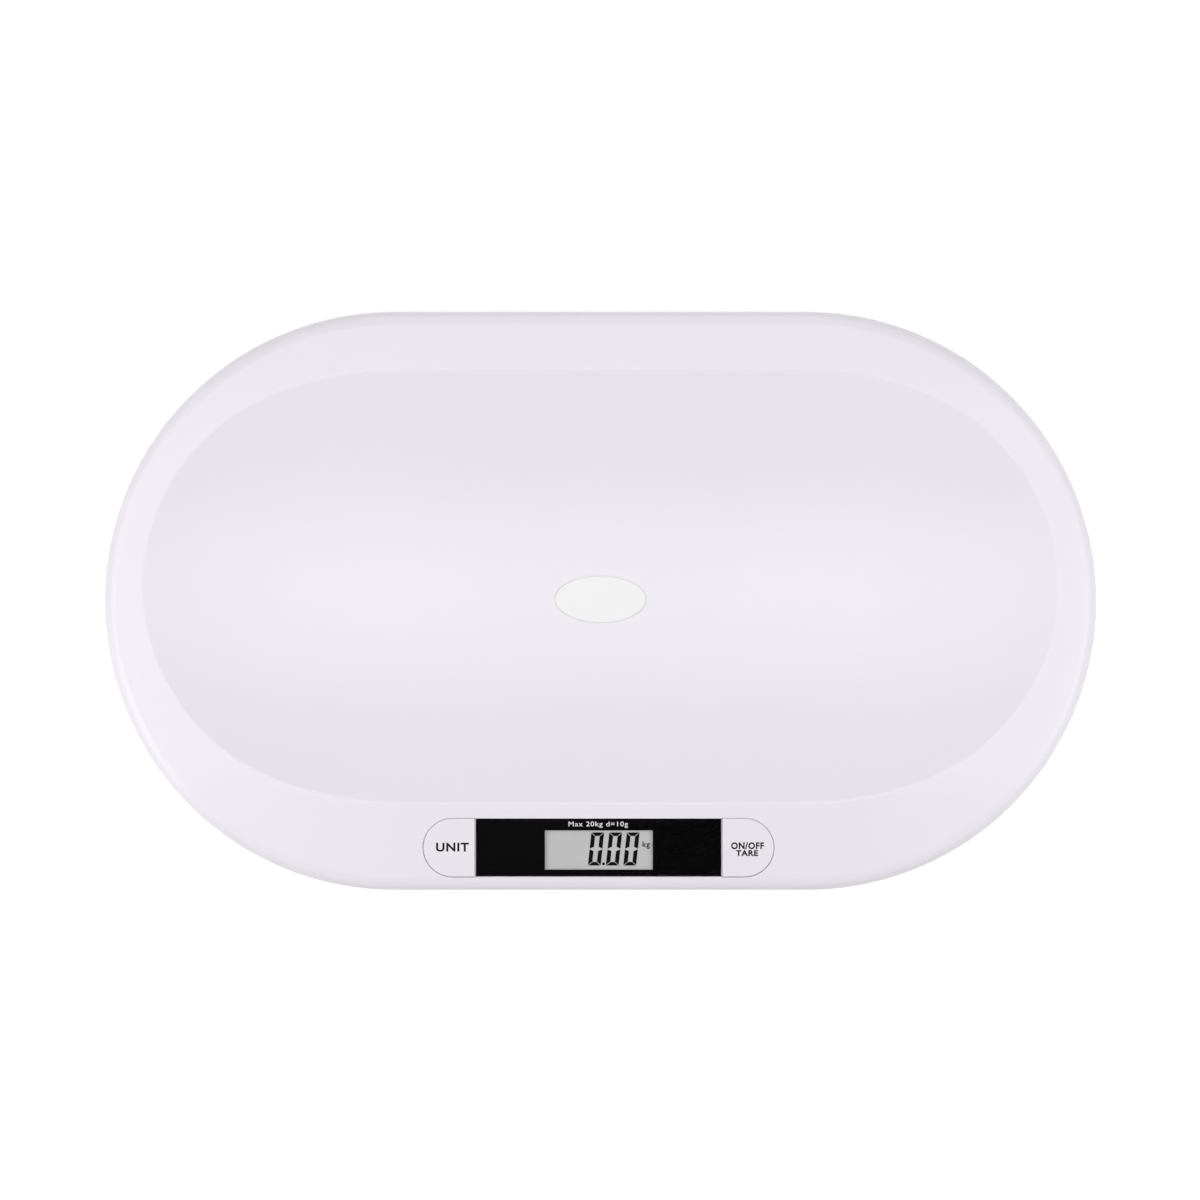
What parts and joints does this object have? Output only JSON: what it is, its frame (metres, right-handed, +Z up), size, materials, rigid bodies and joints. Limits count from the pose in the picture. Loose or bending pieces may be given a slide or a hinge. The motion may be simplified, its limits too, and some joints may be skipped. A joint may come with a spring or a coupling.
{
  "type": "digital baby weighing scale",
  "caption": "Low oval digital scale: shallow trough tray over a nested base on load-cell feet, with a sloped display and push keys in the front rim.",
  "frame": {"origin": "on the floor under the middle of the outer outline", "axes": "+X along the tray, +Y from the display edge towards the back, +Z up from the feet"},
  "size_m": [0.55, 0.3206, 0.0579],
  "materials": {
    "tray_plastic": "satin",
    "cover_plastic": "fine texture",
    "badge_plastic": "gloss",
    "clear_acrylic": "polished",
    "black_print": "printed film",
    "display_glass": "polished",
    "holder_plastic": "matt",
    "black_elastomer": "matt",
    "circuit_laminate": "solder mask",
    "chip_epoxy": "matt",
    "bright_steel": "brushed",
    "zinc_screw": "zinc plated",
    "nickel_contact": "nickel plated",
    "capacitor_sleeve": "sleeve",
    "socket_nylon": "nylon",
    "foot_rubber": "matt",
    "sealant_silicone": "silicone",
    "battery_jacket": "printed film",
    "label_film": "matt film",
    "lead_vinyl": "vinyl"
  },
  "bodies": {
    "root": {"tray": "tray_plastic", "name_badge": "badge_plastic", "display_lens": "clear_acrylic", "display_mask": "black_print", "lcd_glass": "display_glass", "lcd_holder": "holder_plastic", "zebra_strips": "black_elastomer", "lcd_reflector": "bright_steel", "main_board": "circuit_laminate", "board_screws": "zinc_screw", "controller_chip": "chip_epoxy", "quartz_crystal": "bright_steel", "capacitors": "capacitor_sleeve", "lead_sockets": "socket_nylon", "unit_switch_body": "chip_epoxy", "tare_switch_body": "chip_epoxy", "base_cover": "cover_plastic", "rating_label": "label_film", "case_screws": "zinc_screw", "cell_retainers": "cover_plastic", "gauge_sealant": "sealant_silicone", "batteries": "battery_jacket", "contact_plates": "nickel_contact", "contact_springs": "nickel_contact", "load_cell_front_left": "bright_steel", "cell_lead_front_left": "lead_vinyl", "load_cell_front_right": "bright_steel", "cell_lead_front_right": "lead_vinyl", "load_cell_back_left": "bright_steel", "cell_lead_back_left": "lead_vinyl", "load_cell_back_right": "bright_steel", "cell_lead_back_right": "lead_vinyl", "battery_lead_left": "lead_vinyl", "battery_lead_right": "lead_vinyl"},
    "unit_key": {"unit_button": "tray_plastic", "unit_switch_plunger": "chip_epoxy"},
    "tare_key": {"tare_button": "tray_plastic", "tare_switch_plunger": "chip_epoxy"},
    "door": {"battery_door": "cover_plastic"},
    "foot_front_left": {"foot_cap_front_left": "cover_plastic", "foot_pad_front_left": "foot_rubber"},
    "foot_front_right": {"foot_cap_front_right": "cover_plastic", "foot_pad_front_right": "foot_rubber"},
    "foot_back_left": {"foot_cap_back_left": "cover_plastic", "foot_pad_back_left": "foot_rubber"},
    "foot_back_right": {"foot_cap_back_right": "cover_plastic", "foot_pad_back_right": "foot_rubber"}
  },
  "joints": [
    {"name": "unit_button_press", "type": "slide", "parent": "root", "child": "unit_key", "axis": [0, 0.1392, -0.9903], "range_m": [0, 0.0006], "stiffness_N_per_m": 2500},
    {"name": "tare_button_press", "type": "slide", "parent": "root", "child": "tare_key", "axis": [0, 0.1392, -0.9903], "range_m": [0, 0.0006], "stiffness_N_per_m": 2500},
    {"name": "battery_door_hinge", "type": "hinge", "parent": "root", "child": "door", "pos_m": [0, -0.085, 0.006], "axis": [1, 0, 0], "range_deg": [0, 75]},
    {"name": "foot_front_left_play", "type": "slide", "parent": "root", "child": "foot_front_left", "axis": [0, 0, 1], "range_m": [-0.0003, 0]},
    {"name": "foot_front_right_play", "type": "slide", "parent": "root", "child": "foot_front_right", "axis": [0, 0, 1], "range_m": [-0.0003, 0]},
    {"name": "foot_back_left_play", "type": "slide", "parent": "root", "child": "foot_back_left", "axis": [0, 0, 1], "range_m": [-0.0003, 0]},
    {"name": "foot_back_right_play", "type": "slide", "parent": "root", "child": "foot_back_right", "axis": [0, 0, 1], "range_m": [-0.0003, 0]}
  ]
}
